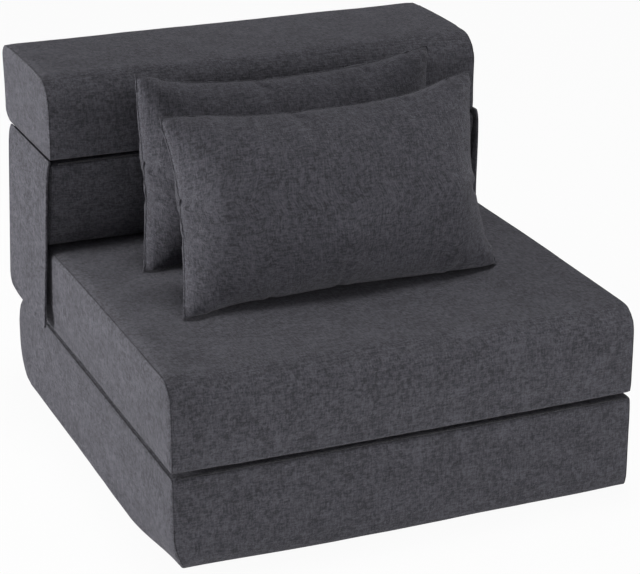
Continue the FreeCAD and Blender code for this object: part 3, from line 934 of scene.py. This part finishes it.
# %% Sew and stuff
def sewn_bag(name, width, height):
    """Two grids a few millimetres apart, joined round their rims."""
    bag = new_grid(name, PILLOW_COLUMNS, round(PILLOW_COLUMNS * height / width))
    bag.scale = (width, height, 1)
    bpy.ops.object.transform_apply(scale=True)
    bpy.ops.object.mode_set(mode="EDIT")
    bpy.ops.mesh.select_all(action="SELECT")
    bpy.ops.mesh.duplicate()
    bpy.ops.transform.translate(value=(0, 0, -SHEET_GAP))
    bpy.ops.mesh.flip_normals()
    bpy.ops.mesh.select_mode(type="EDGE")
    bpy.ops.mesh.select_all(action="DESELECT")
    bpy.ops.mesh.select_non_manifold(extend=False)
    bpy.ops.mesh.bridge_edge_loops()
    bpy.ops.mesh.select_all(action="SELECT")
    bpy.ops.mesh.normals_make_consistent(inside=False)
    bpy.ops.object.mode_set(mode="OBJECT")
    return bag


def lay_out_pattern(bag, rear_shift=0.7):
    """Keeps the flat cut-out as the piece's UV map, in metres, so that the weave follows the cloth."""
    mesh = bag.data
    layer = mesh.uv_layers.get("UVMap") or mesh.uv_layers.new(name="UVMap")
    flat = points_of(mesh)
    corner = np.empty(len(mesh.loops), np.int32)
    mesh.loops.foreach_get("vertex_index", corner)
    uv = flat[corner, :2] + np.where(flat[corner, 2:3] < REAR_SHEET, rear_shift, 0.0)
    layer.data.foreach_set("uv", np.ascontiguousarray(uv, np.float32).ravel())


PILLOW_CLOTH = {
    "quality": 6, "mass": 0.1, "tension_stiffness": 25, "compression_stiffness": 25, "shear_stiffness": 12,
    "bending_stiffness": 0.4, "air_damping": 3, "uniform_pressure_force": 25, "use_pressure_volume": True,
    "target_volume": PILLOW_VOLUME,
}
PILLOW_FRAMES = 26


print("cloth for the pillows:", PILLOW_CLOTH)

# %% [markdown]
# ## The pillows' rims and corners
# A simulated bag is as even as its numbers, and a real pillow isn't: it has been leaned on, its corners
# point their own ways, and its upper side sags between them. So the stuffed shape is warped. First the rim
# is moved to the outline that the real pillow has, then each corner is pulled to its own place. Last, the
# sewn rim itself gets its thin ridge, open where the zip is.


# %% Rims and corners
def cut_place(flat):
    """Where each point lies on the flat cut, from -1 to 1 both ways."""
    return flat[:, 0] / PILLOW_CUT[0] * 2, flat[:, 1] / PILLOW_CUT[1] * 2


def wanted_rim(s, t):
    """Where a point of the flat cut's rim lies in the finished pillow, for s and t from -1 to 1."""
    half_x, half_y = PILLOW_SIZE[0] / 2, PILLOW_SIZE[1] / 2
    level = np.where(t > 0, PILLOW_WAIST["top"], PILLOW_WAIST["bottom"])
    at_corner = PILLOW_WAIST["corner"] * np.maximum(0, (np.abs(s) + np.abs(t)) / 2 - 0.94) / 0.06
    x = s * half_x - np.sign(s) * (PILLOW_WAIST["sides"] * (1 - t ** 2) * np.abs(s) + at_corner)
    y = t * half_y - np.sign(t) * (level * (1 - s ** 2) * np.abs(t) + at_corner)
    return np.stack([x, y, np.zeros(len(s))], axis=1)


def true_up_rim(co, flat):
    """Moves the stuffed pillow's rim to the wanted outline, and what is inside it in proportion."""
    s, t = cut_place(flat)

    def side_shift(rim, along, at):
        order = np.argsort(along[rim])
        shift = (wanted_rim(s[rim], t[rim]) - co[rim]) * RIM_EVENNESS
        return np.stack([np.interp(at, along[rim][order], shift[order, k]) for k in range(3)], axis=1)

    top, bottom = side_shift(t > RIM, s, s), side_shift(t < -RIM, s, s)
    right, left = side_shift(s > RIM, t, t), side_shift(s < -RIM, t, t)
    a, b = ((1 + s) / 2)[:, None], ((1 + t) / 2)[:, None]
    shift = b * top + (1 - b) * bottom + a * right + (1 - a) * left
    for end, up in ((1, b), (-1, 1 - b)):
        for side, over in ((1.0, a), (-1.0, 1 - a)):
            corner = side_shift(end * t > RIM, s, np.array([side]))
            shift -= over * up * corner
    near_rim = np.maximum(np.abs(s), np.abs(t))[:, None] ** 6
    shift[:, 2:] *= near_rim
    return co + shift


def set_corners(name, co):
    """Pulls each corner, and less and less of what is round it, to where it lies on the real pillow."""
    for (side, end), reach, offset in PILLOW_CORNERS[name]:
        at = np.array([side, end]) * PILLOW_SIZE[:2] / 2
        weight = np.exp(-(np.linalg.norm(co[:, :2] - at, axis=1) / reach) ** 2)
        co += weight[:, None] * np.array(offset)


RIM_SEAM = 0.0012
ZIP_SHARE = 0.70


def rim_seam(name, co, flat):
    """The thin ridge where the two rectangles are sewn together, all round but for the zip's place."""
    s, t = cut_place(flat)
    at_zip = (t < -RIM) & (np.abs(s) < ZIP_SHARE)
    rim = np.nonzero((np.maximum(np.abs(s), np.abs(t)) > RIM) & (flat[:, 2] > REAR_SHEET) & ~at_zip)[0]
    angle = np.mod(np.arctan2(t[rim], s[rim]) + math.pi / 2, 2 * math.pi)
    order = rim[np.argsort(angle)]
    mesh = bpy.data.meshes.new(f"{name}_rim_seam")
    mesh.from_pydata(co[order].tolist(), [(i, i + 1) for i in range(len(order) - 1)], [])
    seam = bpy.data.objects.new(f"{name}_rim_seam", mesh)
    scene.collection.objects.link(seam)
    thread_along(seam, RIM_SEAM, closed_ends=True)
    give_finish(seam, fabrics["cover_fabric"])
    return seam


print("corners set by hand:", sum(map(len, PILLOW_CORNERS.values())))

# %% [markdown]
# ## Two pillows on the seat
# Each pillow is made lying flat and then stood on the seat with its own lean. Its lower edge is pressed
# flat where it rests. The filling inside is drawn in well behind the cover, and both have their own body,
# since the pillows are loose.

# %% Pillows
PRESSED = 0.010
PILLOW_ZIP_SKIP = 0.075
FILLING_VOXEL, FILLING_INSET = 0.012, 0.018


def stand_up(co, foot, lean, shift, seat_top):
    """Turns the flat pillow up, leans it back and stands it on the seat."""
    tilt = math.radians(lean)
    up, out = co[:, 1].copy(), co[:, 2].copy()
    half = PILLOW_SIZE[1] / 2
    co[:, 0] += shift
    co[:, 1] = foot - CHAIR_MIDDLE + half * math.sin(tilt) + up * math.sin(tilt) - out * math.cos(tilt)
    co[:, 2] = seat_top - PRESSED + half * math.cos(tilt) + up * math.cos(tilt) + out * math.sin(tilt)
    co[:, 2] = np.maximum(co[:, 2], seat_top + 0.0002)


def pillow(name, row, seed):
    bag = sewn_bag(f"{name}_cover_dressed", *PILLOW_CUT)
    lay_out_pattern(bag)
    flat = points_of(bag.data)
    run_cloth(bag, PILLOW_FRAMES, PILLOW_CLOTH)
    co = points_of(bag.data)
    size = co.max(0) - co.min(0)
    print(f"{name}: stuffed to {(size * 1000).round()} mm")
    co -= (co.max(0) + co.min(0)) / 2
    co[:, 2] *= PILLOW_SIZE[2] / size[2]
    co = true_up_rim(co, flat)
    length, depth = PUCKER
    co += normals_of(bag.data) * (waves_at(co, length, seed) * depth)[:, None]
    set_corners(name, co)
    stand_up(co, *row)
    set_points(bag.data, co)
    apply_modifier(bag, "SUBSURF", levels=1, render_levels=1)
    return bag, rim_seam(name, co, flat)


for seed, (name, row) in enumerate(PILLOWS.items(), start=20):
    bag, seam = pillow(name, row, seed)
    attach(seam, name)
    zip_mouth(bag, f"{name}_zip", outward=2, skip=PILLOW_ZIP_SKIP)
    give_finish(bag, fabrics["pillow_fabric"], sharp=60)
    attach(bag, name)
    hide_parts(f"{name}_cover")
    filling = core(f"{name}_filling", "pillow_filling", FILLING_VOXEL, FILLING_INSET)
    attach(filling, name)
    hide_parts(f"{name}_filling")
    print(bag.name, len(bag.data.polygons), "faces")

# %% [markdown]
# ## Side flaps
# Each flap is a double layer of the cover fabric, sewn to the upper back and hanging free. A simulation
# would hang it dead straight, so its shape is given instead. It starts as a flat grid, takes the slant
# of its hem, and is then given the slow waves of hanging cloth, a stitched line inside its edges, rounded
# lower corners, and a rear edge that curls towards the back. Its top is pinched where it is sewn on.
# Solidify gives it the thickness of its two layers.

# %% Side flaps
FLAP = {
    "width": 0.208, "drop": 0.272, "slant": 0.022, "flare": math.radians(2.0),
    "front": 0.523 - CHAIR_MIDDLE, "seam": 0.431, "side": 0.3503, "sheet": 0.003, "rise": 0.018,
}
FLAP_GRID = (104, 136)
RIPPLE = {"length": 0.07, "depth": 0.0022, "upright": 0.45}
CURL = {"depth": 0.010, "from": 0.80}
PINCH = {"depth": 0.0040, "reach": 0.009}
HEM = {"inset": 0.011, "depth": 0.0006, "breadth": 0.0016, "round": 0.007}
FLAP_EDGE = 0.0008


def side_flap(side, name, seed):
    flap = new_grid(name, *FLAP_GRID)
    co = points_of(flap.data)
    across, down = co[:, 0] + 0.5, 0.5 - co[:, 1]
    y = FLAP["front"] + across * FLAP["width"] + down * FLAP["slant"]
    drop = down * (FLAP["drop"] - FLAP["rise"] * across ** 2)
    out = np.full(len(co), FLAP["sheet"] / 2)
    flat = np.stack([y, drop, out * 0], axis=1)
    ripple = waves_at(flat * np.array([1, RIPPLE["upright"], 1]), RIPPLE["length"], seed)
    ripple = ripple * RIPPLE["depth"] * down
    curl = np.clip((across - CURL["from"]) / (1 - CURL["from"]), 0, 1) ** 2
    curl = -CURL["depth"] * curl * np.minimum(1, down * 1.5)
    out += np.maximum(ripple + curl * 0.5, -drop * math.tan(FLAP["flare"]) * 0.55)
    to_side = np.minimum(across, 1 - across) * FLAP["width"]
    to_foot = (1 - down) * FLAP["drop"]
    from_stitch = np.minimum(to_side, to_foot) - HEM["inset"]
    out -= HEM["depth"] * np.exp(-(from_stitch / HEM["breadth"]) ** 2)
    past_side, past_foot = HEM["round"] - to_side, HEM["round"] - to_foot
    corner = np.hypot(np.maximum(0, past_side), np.maximum(0, past_foot))
    pull = np.where(corner > HEM["round"], HEM["round"] / np.maximum(corner, 1e-6), 1)
    y += np.where(pull < 1, past_side * (1 - pull) * np.sign(0.5 - across), 0)
    drop -= np.where(pull < 1, past_foot * (1 - pull), 0)
    out -= PINCH["depth"] * np.exp(-drop / PINCH["reach"])
    x = FLAP["side"] + drop * math.sin(FLAP["flare"]) + out * math.cos(FLAP["flare"])
    z = FLAP["seam"] - drop * math.cos(FLAP["flare"]) + out * math.sin(FLAP["flare"])
    set_points(flap.data, np.stack([side * x, y, z], axis=1))
    edit_all(flap, bpy.ops.mesh.normals_make_consistent, inside=False)
    apply_modifier(flap, "SOLIDIFY", thickness=FLAP["sheet"], offset=0.0)
    apply_modifier(flap, "BEVEL", width=FLAP_EDGE, segments=2, limit_method="ANGLE")
    give_finish(flap, fabrics["flap_fabric"], sharp=50)
    return flap


for side, side_name in ((-1, "left"), (1, "right")):
    flap = side_flap(side, f"{side_name}_flap_dressed", 31 + side)
    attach(flap, f"{side_name}_flap")
    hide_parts(f"{side_name}_side_flap")
    print(flap.name, len(flap.data.polygons), "faces")
